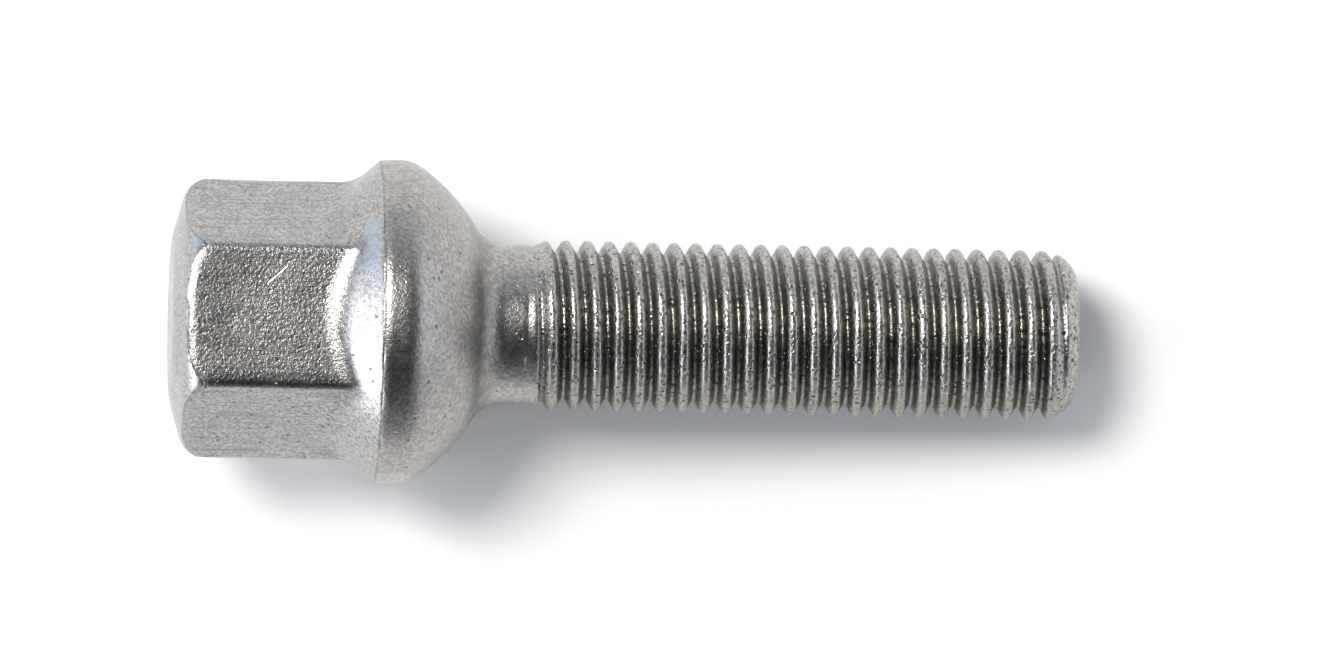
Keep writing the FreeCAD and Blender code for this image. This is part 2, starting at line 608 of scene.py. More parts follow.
    def blank_out(self, along: np.ndarray) -> np.ndarray:
        """The distance of the rod from the axis before its groove is rolled.

        Args:
            along: Distance along the axis of each point.

        Returns:
            The distance out of each point.
        """
        sizes = self.sizes
        swell = self.step(along, sizes.ramp_start, sizes.thread_start)
        climb = self.step(along, sizes.thread_start, sizes.thread_start + sizes.climb_length)
        rest = sizes.thread_major - sizes.shank - sizes.swell
        out = sizes.shank + sizes.swell * swell + rest * climb
        past = np.clip(along - (sizes.length - sizes.tip_length), 0.0, sizes.tip_length)
        return out - (sizes.tip_radius - np.sqrt(sizes.tip_radius**2 - past**2))

    def thread_out(self, along: np.ndarray, angle: np.ndarray) -> tuple[np.ndarray, np.ndarray]:
        """The distance of the threaded rod from the axis.

        Args:
            along: Distance along the axis of each point.
            angle: Angle of each point about the axis.

        Returns:
            The distance out, and how deep in the groove each point is, from 0 to 1.
        """
        sizes = self.sizes
        turns = (along - sizes.thread_join) / sizes.pitch - angle / FULL_TURN
        groove = np.round(turns)
        across = np.abs(turns - groove) * sizes.pitch
        early = np.clip(-groove - angle / FULL_TURN, 0.0, sizes.runout_turns)
        climb = early * sizes.depth * sizes.runout_share
        filled = self.step(along, sizes.length - sizes.tip_length, sizes.length - sizes.tip_fill_end)
        climb = climb + sizes.depth * sizes.tip_fill * filled
        half_root = sizes.root_share * sizes.pitch / 2
        half_mouth = (1 - sizes.crest_share) * sizes.pitch / 2
        flank = (across - half_root) / (half_mouth - half_root)
        flank = 0.5 * (flank + np.sqrt(flank**2 + sizes.root_round**2)) - sizes.root_lift
        wall = sizes.thread_major - sizes.depth + climb + sizes.depth * flank
        blank = self.blank_out(along)
        gap = wall - blank
        out = blank + 0.5 * (gap - np.sqrt(gap**2 + sizes.crest_round**2))
        return out, np.clip((blank - out) / sizes.depth, 0.0, 1.0)

    def build(self) -> bpy.types.Mesh:
        """Make the closed mesh in the bolt's own frame.

        Returns:
            The mesh.
        """
        head = self.head_profile()
        skin = SkinMesh()
        ring = [skin.put(0.0, 0.0, 0.0)] * self.columns
        for along, out, edge, finish in zip(head.along, head.out, head.edge, head.finish):
            following = [skin.put(along[i], out[i], self.angles[i], edge) for i in range(self.columns)]
            skin.bridge(ring, following, finish)
            ring = following
        ring = self.add_thread(skin, ring, head.along[-1][0])
        self.add_end(skin, ring)
        return skin.mesh(Wear(self.sizes))

    def add_thread(self, skin: SkinMesh, first_ring: list[int], start: float) -> list[int]:
        """Add the helical rows of the thread between two plain rings.

        Args:
            skin: The skin to add to.
            first_ring: The points of the last plain ring of the shank.
            start: Where that ring is along the axis.

        Returns:
            The points of the ring at the tip.
        """
        sizes = self.sizes
        end = sizes.length
        shares = sorted(set(self.groove_rows) | {0.5} | {1.0 - share for share in self.groove_rows[1:]})
        first = (sizes.thread_join - start) % sizes.pitch
        count = math.ceil((end - start) / sizes.pitch) + self.spare_turns
        turns = range(-self.turns_before, count - self.turns_before)
        offsets = [first + (turn + share) * sizes.pitch for turn in turns for share in shares]
        along = start + np.array(offsets)[:, None] + sizes.pitch * self.angles[None, :] / FULL_TURN
        along = np.clip(along, start, end)
        out, deep = self.thread_out(along, np.broadcast_to(self.angles[None, :], along.shape))
        tip_out, tip_deep = self.thread_out(np.full(self.columns, end), self.angles)
        end_ring = []
        for index, angle in enumerate(self.angles):
            end_ring.append(skin.put(end, tip_out[index], angle, 1.0, tip_deep[index]))
        grid = []
        for index, angle in enumerate(self.angles):
            column = []
            for place, row_out, row_deep in zip(along[:, index], out[:, index], deep[:, index]):
                if place <= start + self.same_place:
                    column.append(first_ring[index])
                elif place >= end - self.same_place:
                    column.append(end_ring[index])
                else:
                    column.append(skin.put(place, row_out, angle, 0.0, row_deep))
            grid.append(column)
        last = len(offsets) - 1
        shank_end = sizes.thread_start - sizes.shank_margin
        for index in range(self.columns):
            wraps = index + 1 == self.columns
            following = grid[0] if wraps else grid[index + 1]
            shift = len(shares) if wraps else 0
            for row in range(last):
                low, high = min(row + shift, last), min(row + 1 + shift, last)
                finish = Finish.SEAT if along[row, index] < shank_end else Finish.THREAD
                skin.face([grid[index][row], grid[index][row + 1], following[high], following[low]], finish)
        return end_ring

    def add_end(self, skin: SkinMesh, ring: list[int]) -> None:
        """Close the tip with a flat end.

        Args:
            skin: The skin to add to.
            ring: The points of the ring at the tip.
        """
        sizes = self.sizes
        for share in self.tip_shares:
            inner = [skin.put(sizes.length, sizes.tip * share, angle) for angle in self.angles]
            skin.bridge(ring, inner, Finish.THREAD)
            ring = inner
        middle = [skin.put(sizes.length, 0.0, 0.0)] * self.columns
        skin.bridge(ring, middle, Finish.THREAD)


class NodeSketch:
    """Adds and joins the nodes of one shader tree. Values are sockets to join, or numbers to set."""

    no_vector = (0.0, 0.0, 0.0)

    def __init__(self, tree: bpy.types.NodeTree) -> None:
        """Keep the tree."""
        self.tree = tree

    def feed(self, socket: Socket, value: object) -> None:
        """Join a socket to another, or set its own value.

        Args:
            socket: The socket that takes the value.
            value: The socket to join it to, or its new value.
        """
        if isinstance(value, bpy.types.NodeSocket):
            self.tree.links.new(value, socket)
        else:
            socket.default_value = value

    def node(self, kind: str, *values: object, **settings: object) -> bpy.types.Node:
        """Add a node.

        Args:
            kind: Its type.
            values: What its first inputs take, in their order.
            settings: Its settings by name.

        Returns:
            The node.
        """
        node = self.tree.nodes.new(kind)
        for name, value in settings.items():
            setattr(node, name, value)
        for socket, value in zip(node.inputs, values):
            self.feed(socket, value)
        return node

    def named(self, kind: str, values: dict[str, object], **settings: object) -> bpy.types.Node:
        """Add a node and feed inputs by name.

        Args:
            kind: Its type.
            values: What its inputs take, by their names.
            settings: Its settings by name.

        Returns:
            The node.
        """
        node = self.node(kind, **settings)
        for name, value in values.items():
            self.feed(node.inputs[name], value)
        return node

    def math(self, operation: str, first: object, second: object = 0.0, clamp: bool = False) -> Socket:
        """A sum, product or other operation on two values."""
        return self.node("ShaderNodeMath", first, second, operation=operation, use_clamp=clamp).outputs[0]

    def product(self, *values: object) -> Socket:
        """The product of several values.

        Args:
            values: The values, the first of them a socket.

        Returns:
            Their product.
        """
        result = values[0]
        for value in values[1:]:
            result = self.math("MULTIPLY", result, value)
        return result

    def vector(self, operation: str, first: object, second: object = no_vector) -> Socket:
        """An operation on two vectors, as a vector."""
        return self.node("ShaderNodeVectorMath", first, second, operation=operation).outputs["Vector"]

    def measure(self, operation: str, first: object, second: object = no_vector) -> Socket:
        """An operation on two vectors, as a value."""
        return self.node("ShaderNodeVectorMath", first, second, operation=operation).outputs["Value"]

    def scaled(self, vector: object, share: object) -> Socket:
        """A vector times a value."""
        node = self.named("ShaderNodeVectorMath", {"Scale": share}, operation="SCALE")
        self.feed(node.inputs[0], vector)
        return node.outputs["Vector"]

    def split(self, vector: object) -> bpy.types.NodeOutputs:
        """The three parts of a vector, by the names X, Y and Z."""
        return self.node("ShaderNodeSeparateXYZ", vector).outputs

    def ramp(self, value: object, low: float, high: float, start: float = 0.0, end: float = 1.0) -> Socket:
        """A smooth step.

        Args:
            value: The value that the step follows.
            low: Where the step begins.
            high: Where it ends.
            start: What it gives before it begins.
            end: What it gives after its end.

        Returns:
            The stepped value.
        """
        values = {"Value": value, "From Min": low, "From Max": high, "To Min": start, "To Max": end}
        return self.named("ShaderNodeMapRange", values, interpolation_type="SMOOTHSTEP").outputs["Result"]

    def mix(self, share: object, first: object, second: object) -> Socket:
        """A mix of two colours.

        Args:
            share: How much of the second colour it has, from 0 to 1.
            first: The first colour.
            second: The second colour.

        Returns:
            The mixed colour.
        """
        node = self.named("ShaderNodeMix", {"Factor": share}, data_type="RGBA")
        colours = [socket for socket in node.inputs if socket.type == "RGBA"]
        self.feed(colours[0], first)
        self.feed(colours[1], second)
        return next(socket for socket in node.outputs if socket.type == "RGBA")

    def blend(self, share: object, first: Socket, second: Socket) -> Socket:
        """A mix of two shaders."""
        return self.node("ShaderNodeMixShader", share, first, second).outputs[0]

    def noise(self, place: object, scale: object, detail: float = 2.0) -> Socket:
        """Smooth noise from 0 to 1."""
        values = {"Vector": place, "Scale": scale, "Detail": detail}
        return self.named("ShaderNodeTexNoise", values).outputs["Fac"]

    def turned(self, place: object, turn: tuple) -> Socket:
        """The place turned by these angles, so that noise doesn't line up with the flats."""
        values = {"Vector": place, "Rotation": turn}
        return self.named("ShaderNodeVectorRotate", values, rotation_type="EULER_XYZ").outputs["Vector"]

    def group(self, tree: bpy.types.NodeTree, **values: object) -> Socket:
        """Use a shared effect with these inputs and return its output."""
        return self.named("ShaderNodeGroup", values, node_tree=tree).outputs[0]


@dataclass
class SurfaceEffects:
    """The node groups that the finishes share."""

    fine_scale: float = 2.3
    fine_detail: float = 1.0
    coarse_share: float = 0.65
    fine_share: float = 0.35
    stain_detail: float = 5.0
    stain_tones: tuple = (0.36, 0.66)
    pit_shift: float = 0.5
    pit_reach: tuple = (0.40, 0.16)
    grime_scale: float = 2600.0
    grime_tones: tuple = (0.32, 0.56)
    mark_ends: tuple = (1.0, 0.7)
    mark_scale: float = 6000.0
    mark_tones: tuple = (0.25, 0.5)
    spot_scale: float = 1100.0
    spot_uneven: float = 1.2
    spot_tones: tuple = (0.1, 0.6)
    patch_detail: float = 3.0

    def __post_init__(self) -> None:
        """Make every group once."""
        self.grain = self.make_grain()
        self.stain = self.make_stain()
        self.pits = self.make_pits()
        self.edge_grime = self.make_edge_grime()
        self.mark = self.make_mark()
        self.spot = self.make_spot()

    @staticmethod
    def start(name: str, values: dict[str, float], vectors: tuple[str, ...], output: str) -> tuple:
        """Start a group.

        Args:
            name: The group's name.
            values: The name and default of each number that goes in.
            vectors: The name of each vector that goes in.
            output: The name of its one output.

        Returns:
            The group, a sketch of its tree, its inputs by name and its output socket.
        """
        group = bpy.data.node_groups.new(name, "ShaderNodeTree")
        for label in vectors:
            group.interface.new_socket(name=label, in_out="INPUT", socket_type="NodeSocketVector")
        for label, default in values.items():
            socket = group.interface.new_socket(name=label, in_out="INPUT", socket_type="NodeSocketFloat")
            socket.default_value = default
        group.interface.new_socket(name=output, in_out="OUTPUT", socket_type="NodeSocketFloat")
        sketch = NodeSketch(group)
        given = sketch.node("NodeGroupInput").outputs
        result = sketch.node("NodeGroupOutput").inputs[output]
        return group, sketch, given, result

    def make_grain(self) -> bpy.types.NodeTree:
        """The fine grain of tumbled plating, as a height.

        Returns:
            The group.
        """
        group, sketch, given, result = self.start("plating_grain", {"Scale": 5000.0}, ("Place",), "Height")
        coarse = sketch.noise(given["Place"], given["Scale"])
        fine_scale = sketch.product(given["Scale"], self.fine_scale)
        fine = sketch.noise(given["Place"], fine_scale, self.fine_detail)
        coarse_part = sketch.product(coarse, self.coarse_share)
        sketch.feed(result, sketch.math("ADD", coarse_part, sketch.product(fine, self.fine_share)))
        return group

    def make_stain(self) -> bpy.types.NodeTree:
        """Uneven plating, in soft patches.

        Returns:
            The group.
        """
        group, sketch, given, result = self.start("plating_stain", {"Scale": 500.0}, ("Place",), "Mask")
        patches = sketch.noise(given["Place"], given["Scale"], self.stain_detail)
        sketch.feed(result, sketch.ramp(patches, *self.stain_tones))
        return group

    def make_pits(self) -> bpy.types.NodeTree:
        """Small scattered pits.

        Returns:
            The group.
        """
        values = {"Scale": 2500.0, "Amount": 0.5}
        group, sketch, given, result = self.start("small_pits", values, ("Place",), "Mask")
        uneven = sketch.named("ShaderNodeTexNoise", {"Vector": given["Place"], "Scale": given["Scale"]})
        shift = sketch.scaled(uneven.outputs["Color"], sketch.math("DIVIDE", self.pit_shift, given["Scale"]))
        place = sketch.vector("ADD", given["Place"], shift)
        cells = sketch.named("ShaderNodeTexVoronoi", {"Vector": place, "Scale": given["Scale"]})
        spot = sketch.ramp(cells.outputs["Distance"], *self.pit_reach)
        brightness = sketch.measure("LENGTH", cells.outputs["Color"])
        chosen = sketch.math("LESS_THAN", brightness, given["Amount"])
        sketch.feed(result, sketch.product(spot, chosen))
        return group

    def make_edge_grime(self) -> bpy.types.NodeTree:
        """Where grime lies along edges, broken up by noise.

        Returns:
            The group.
        """
        group, sketch, given, result = self.start("edge_grime", {"Amount": 1.0}, ("Place",), "Mask")
        edge = sketch.node("ShaderNodeAttribute", attribute_name="worn_edge")
        noise = sketch.noise(given["Place"], self.grime_scale, self.patch_detail)
        mask = sketch.product(edge.outputs["Fac"], sketch.ramp(noise, *self.grime_tones))
        sketch.feed(result, sketch.math("MULTIPLY", mask, given["Amount"], clamp=True))
        return group

    def make_mark(self) -> bpy.types.NodeTree:
        """One straight mark about a middle point.

        Returns:
            The group.
        """
        values = {"Length": 0.0015, "Width": 0.00012}
        vectors = ("Place", "Middle", "Along")
        group, sketch, given, result = self.start("straight_mark", values, vectors, "Mask")
        away = sketch.vector("SUBTRACT", given["Place"], given["Middle"])
        run = sketch.measure("DOT_PRODUCT", away, given["Along"])
        across = sketch.vector("SUBTRACT", away, sketch.scaled(given["Along"], run))
        distance = sketch.measure("LENGTH", across)
        thin = sketch.math("SUBTRACT", 1.0, sketch.math("DIVIDE", distance, given["Width"]), clamp=True)
        half = sketch.product(given["Length"], 0.5)
        ends = sketch.ramp(sketch.math("DIVIDE", sketch.math("ABSOLUTE", run), half), *self.mark_ends)
        broken = sketch.ramp(sketch.noise(given["Place"], self.mark_scale), *self.mark_tones)
        sketch.feed(result, sketch.product(thin, ends, broken))
        return group

    def make_spot(self) -> bpy.types.NodeTree:
        """A soft uneven patch about a middle point.

        Returns:
            The group.
        """
        vectors = ("Place", "Middle")
        group, sketch, given, result = self.start("soft_spot", {"Reach": 0.002}, vectors, "Mask")
        away = sketch.measure("LENGTH", sketch.vector("SUBTRACT", given["Place"], given["Middle"]))
        near = sketch.math("SUBTRACT", 1.0, sketch.math("DIVIDE", away, given["Reach"]))
        noise = sketch.noise(given["Place"], self.spot_scale, self.patch_detail)
        uneven = sketch.product(sketch.math("SUBTRACT", noise, 0.5), self.spot_uneven)
        sketch.feed(result, sketch.ramp(sketch.math("ADD", near, uneven), *self.spot_tones))
        return group


@dataclass(frozen=True)
class Plating:
    """One finish of the plated steel."""

    finish: Finish
    light: tuple
    dark: tuple
    stained: tuple
    edge_grime: tuple
    pit: tuple
    roughness: float
    stained_roughness: float
    grain_scale: float
    grain_depth: float
    stain_scale: float
    pit_scale: float
    pit_amount: float


@dataclass(frozen=True)
class Mark:
    """A straight mark on the head, a scratch or a band of painted shade, in the bolt's own frame."""

    middle: tuple
    along: tuple
    length: float
    width: float


@dataclass(frozen=True)
class Spot:
    """A bluish patch of passivation, in the bolt's own frame."""

    middle: tuple
    reach: float


PLATINGS = (
    Plating(
        finish=Finish.HEAD,
        light=(0.45, 0.432, 0.42, 1.0),
        dark=(0.24, 0.235, 0.23, 1.0),
        stained=(0.31, 0.294, 0.284, 1.0),
        edge_grime=(0.11, 0.105, 0.10, 1.0),
        pit=(0.12, 0.115, 0.11, 1.0),
        roughness=0.30,
        stained_roughness=0.34,
        grain_scale=4300.0,
        grain_depth=0.000051,
        stain_scale=700.0,
        pit_scale=2600.0,
        pit_amount=0.50,
    ),
    Plating(
        finish=Finish.SEAT,
        light=(0.44, 0.42, 0.40, 1.0),
        dark=(0.29, 0.272, 0.256, 1.0),
        stained=(0.27, 0.25, 0.235, 1.0),
        edge_grime=(0.12, 0.115, 0.11, 1.0),
        pit=(0.15, 0.14, 0.13, 1.0),
        roughness=0.31,
        stained_roughness=0.36,
        grain_scale=3800.0,
        grain_depth=0.000042,
        stain_scale=1200.0,
        pit_scale=2300.0,
        pit_amount=0.52,
    ),
    Plating(
        finish=Finish.THREAD,
        light=(0.52, 0.495, 0.47, 1.0),
        dark=(0.27, 0.255, 0.235, 1.0),
        stained=(0.33, 0.31, 0.28, 1.0),
        edge_grime=(0.30, 0.28, 0.26, 1.0),
        pit=(0.06, 0.055, 0.045, 1.0),
        roughness=0.29,
        stained_roughness=0.35,
        grain_scale=3900.0,
        grain_depth=0.000085,
        stain_scale=1500.0,
        pit_scale=2500.0,
        pit_amount=1.05,
    ),
)

HEAD_SCRATCHES = (
    Mark(middle=(0.00695, 0.0031, 0.0083), along=(0.74, 0.67, 0.0), length=0.0021, width=0.00011),
    Mark(middle=(0.0036, 0.0039, 0.0083), along=(0.60, -0.80, 0.0), length=0.0012, width=0.00007),
)

# painted shade: a dark band along the lower corner of the flat that faces the camera, standing for a dark
# reflection
PAINTED_EDGE_SHADES = (
    Mark(middle=(0.0068, -0.0041, 0.0085), along=(1.0, 0.0, 0.0), length=0.0112, width=0.00065),
)

BLUE_SPOTS = (
    Spot(middle=(0.0138, 0.0043, 0.0097), reach=0.0022),
    Spot(middle=(0.0136, 0.0064, 0.0085), reach=0.0016),
    Spot(middle=(0.0016, 0.0051, 0.0075), reach=0.0009),
    Spot(middle=(0.0130, -0.0080, -0.0060), reach=0.0030),
)


@dataclass
class PlatedSteel:
    """Makes the materials of the bolt. Places along it and across it are in metres, in its own frame."""

    effects: SurfaceEffects
    noise_turn: tuple = (0.7, 0.5, 0.9)
    grain_tones: tuple = (0.40, 0.60)
    stain_share: float = 0.3
    pit_share: float = 0.8
    grime_share: float = 0.7
    flats_start: tuple = (0.0011, 0.0017)
    flats_end: tuple = (0.0126, 0.0112)
    smooth_share: float = 0.25
    line_turn: tuple = (0.6, 0.0, 0.0)
    line_stretch: tuple = (0.04, 1.0, 1.0)
    line_scale: float = 5200.0
    line_height: float = 0.25
    line_tones: tuple = (0.48, 0.32)
    line_share: float = 0.7
    drawn: tuple = (0.22, 0.20, 0.19, 1.0)
    blue: tuple = (0.33, 0.42, 0.52, 1.0)
    blue_share: float = 0.45
    # the colour of the painted shade along that corner
    painted_edge_shade: tuple = (0.10, 0.10, 0.098, 1.0)
    bright: tuple = (0.92, 0.92, 0.90, 1.0)
    neck_start: tuple = (0.0200, 0.0211)
    neck_end: tuple = (0.0223, 0.0214)
    neck_scale: float = 1400.0
    neck_tones: tuple = (0.3, 0.6, 0.5, 1.0)
    neck_share: float = 0.75
    neck_darkening: tuple = (0.15, 0.14, 0.12, 1.0)
    oil_depth: tuple = (0.18, 0.60)
    oil_scale: float = 900.0
    oil_tones: tuple = (0.3, 0.7, 0.7, 1.0)
    # painted highlight: less oil at the very root leaves a light line there, standing for a reflection
    root_highlight_tones: tuple = (0.86, 0.97, 1.0, 0.45)
    # painted light: less oil towards the upper side makes the thread lighter there
    upper_painted_light: tuple = (0.0012, 0.0044, 1.0, 0.28)
    # painted shade: the lower side of the thread is darkened towards the oil's colour
    lower_painted_shade: tuple = (-0.0030, -0.0052, 0.0, 0.35)
    speckle_scale: float = 3200.0
    speckle_tones: tuple = (0.38, 0.62)
    old_oil: tuple = (0.050, 0.049, 0.030, 1.0)
    # thin oil in the grooves, and the colour of the painted shade on the thread's lower side
    thin_oil_and_shade: tuple = (0.165, 0.158, 0.108, 1.0)
    oil_roughness: float = 0.06
    patch_detail: float = 3.0

    def make(self, plating: Plating) -> bpy.types.Material:
        """Make one finish.

        Args:
            plating: Its colours, roughness and grain.

        Returns:
            The material.
        """
        material = bpy.data.materials.new(f"plated_{plating.finish.name.lower()}")
        material.use_nodes = True
        sketch = NodeSketch(material.node_tree)
        shader = material.node_tree.nodes["Principled BSDF"]
        shader.inputs["Metallic"].default_value = 1.0
        place = sketch.node("ShaderNodeTexCoord").outputs["Object"]
        loose = sketch.turned(place, self.noise_turn)
        effects = self.effects
        stain = sketch.group(effects.stain, Place=loose, Scale=plating.stain_scale)
        pits = sketch.group(effects.pits, Place=loose, Scale=plating.pit_scale, Amount=plating.pit_amount)
        grime = sketch.group(effects.edge_grime, Place=loose)
        height = sketch.group(effects.grain, Place=loose, Scale=plating.grain_scale)
        colour = sketch.mix(sketch.ramp(height, *self.grain_tones), plating.dark, plating.light)
        colour = sketch.mix(sketch.product(stain, self.stain_share), colour, plating.stained)
        rough = sketch.ramp(stain, 0.0, 1.0, plating.roughness, plating.stained_roughness)
        if plating.finish is Finish.HEAD:
            colour, height = self.dress_head(sketch, place, colour, height)
        if plating.finish is Finish.SEAT:
            colour = self.dress_neck(sketch, place, colour)
        if plating.finish is Finish.THREAD:
            colour, rough = self.dress_thread(sketch, place, colour, rough)
        colour = sketch.mix(sketch.product(pits, self.pit_share), colour, plating.pit)
        colour = sketch.mix(sketch.product(grime, self.grime_share), colour, plating.edge_grime)
        height = sketch.math("SUBTRACT", height, sketch.product(pits, self.pit_share))
        sketch.feed(shader.inputs["Base Color"], colour)
        sketch.feed(shader.inputs["Roughness"], rough)
        relief = {"Strength": 1.0, "Distance": plating.grain_depth, "Height": height}
        bump = sketch.named("ShaderNodeBump", relief)
        sketch.feed(shader.inputs["Normal"], bump.outputs["Normal"])
        return material

    def mark(self, sketch: NodeSketch, place: Socket, mark: Mark) -> Socket:
        """The mask of one straight mark."""
        return sketch.group(self.effects.mark, Place=place, Middle=mark.middle, Along=mark.along,
                            Length=mark.length, Width=mark.width)

    def dress_head(self, sketch: NodeSketch, place: Socket, colour: Socket, height: Socket) -> tuple:
        """Add draw lines, bluish patches, a band of painted shade along one corner and scratches, and smooth
        the crown and the cone.

        Args:
            sketch: The sketch of the material.
            place: The place on the bolt.
            colour: The plating's colour.
            height: The height of its grain.

        Returns:
            The new colour and the new height.
        """
        along = sketch.split(place)["X"]
        on_flats = sketch.product(sketch.ramp(along, *self.flats_start), sketch.ramp(along, *self.flats_end))
        height = sketch.product(height, sketch.ramp(on_flats, 0.0, 1.0, self.smooth_share, 1.0))
        stretched = sketch.vector("MULTIPLY", sketch.turned(place, self.line_turn), self.line_stretch)
        lines = sketch.noise(stretched, self.line_scale)
        height = sketch.math("ADD", height, sketch.product(lines, self.line_height))
        drawn = sketch.product(sketch.ramp(lines, *self.line_tones), on_flats, self.line_share)
        colour = sketch.mix(drawn, colour, self.drawn)
        for spot in BLUE_SPOTS:
            mask = sketch.group(self.effects.spot, Place=place, Middle=spot.middle, Reach=spot.reach)
            colour = sketch.mix(sketch.product(mask, self.blue_share), colour, self.blue)
        # paint the band of shade along the corner
        for shade in PAINTED_EDGE_SHADES:
            colour = sketch.mix(self.mark(sketch, place, shade), colour, self.painted_edge_shade)
        for scratch in HEAD_SCRATCHES:
            mask = self.mark(sketch, place, scratch)
            colour = sketch.mix(mask, colour, self.bright)
            height = sketch.math("SUBTRACT", height, mask)
        return colour, height

    def dress_neck(self, sketch: NodeSketch, place: Socket, colour: Socket) -> Socket:
        """Darken a ring, broken up by noise, where the seat runs into the neck.

        Args:
            sketch: The sketch of the material.
            place: The place on the bolt.
            colour: The plating's colour.

        Returns:
            The new colour.
        """
        along = sketch.split(place)["X"]
        ring = sketch.product(sketch.ramp(along, *self.neck_start), sketch.ramp(along, *self.neck_end))
        broken = sketch.ramp(sketch.noise(place, self.neck_scale, self.patch_detail), *self.neck_tones)
        return sketch.mix(sketch.product(ring, broken, self.neck_share), colour, self.neck_darkening)

    def dress_thread(self, sketch: NodeSketch, place: Socket, colour: Socket, rough: Socket) -> tuple:
        """Darken the thread's flanks with old oil, less at the root to leave a painted highlight there and
        less on the upper side as painted light, and darken the lower side with painted shade.

        Args:
            sketch: The sketch of the material.
            place: The place on the bolt.
            colour: The plating's colour.
            rough: Its roughness.

        Returns:
            The new colour and the new roughness.
        """
        deep = sketch.node("ShaderNodeAttribute", attribute_name="groove_depth").outputs["Fac"]
        patch = sketch.ramp(sketch.noise(place, self.oil_scale, self.patch_detail), *self.oil_tones)
        # thinner oil at the root paints a highlight line along it
        root = sketch.ramp(deep, *self.root_highlight_tones)
        up = sketch.split(place)["Y"]
        # less oil towards the upper side paints it lighter
        side = sketch.ramp(up, *self.upper_painted_light)
        share = sketch.product(sketch.ramp(deep, *self.oil_depth), patch, root, side)
        speckle = sketch.noise(place, self.speckle_scale, self.patch_detail)
        oil = sketch.mix(sketch.ramp(speckle, *self.speckle_tones), self.old_oil, self.thin_oil_and_shade)
        colour = sketch.mix(share, colour, oil)
        # painted shade on the lower side of the thread
        colour = sketch.mix(sketch.ramp(up, *self.lower_painted_shade), colour, self.thin_oil_and_shade)
        rough = sketch.math("ADD", rough, sketch.product(share, self.oil_roughness))
        return colour, rough


@dataclass
class WheelBolt:
    """The one piece of the object."""

    placement: Placement
    sizes: BoltSizes

    def build(self) -> bpy.types.Object:
        """Make the skin and put it where the solid stands.

        Returns:
            The bolt's object.
        """
        mesh = BoltSkin(self.sizes).build()
        bolt = bpy.data.objects.new("wheel_bolt_skin", mesh)
        bpy.context.scene.collection.objects.link(bolt)
        bolt.matrix_world = self.placement.matrix()
        return bolt

    def dress(self, bolt: bpy.types.Object) -> None:
        """Give the skin its finishes and tie it to the frame.

        Args:
            bolt: The bolt's object.
        """
        steel = PlatedSteel(SurfaceEffects())
        for plating in PLATINGS:
            bolt.data.materials.append(steel.make(plating))
        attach(bolt, "root")
        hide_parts("wheel_bolt")


@dataclass(frozen=True)
class Panel:
    """A soft light in the photograph's frame, aimed at the middle of the floor under the bolt."""

    name: str
    place: tuple
    width: float
    height: float
    power: float
    colour: tuple
    falls_on: LitSurface


@dataclass(frozen=True)
class Glow:
    """A part of the surroundings about a direction in the photograph's frame.

    Its strength is multiplied by `inside` within the inner angle and left as it is beyond the outer angle.
    """

    towards: tuple
    inner: float
    outer: float
    inside: float


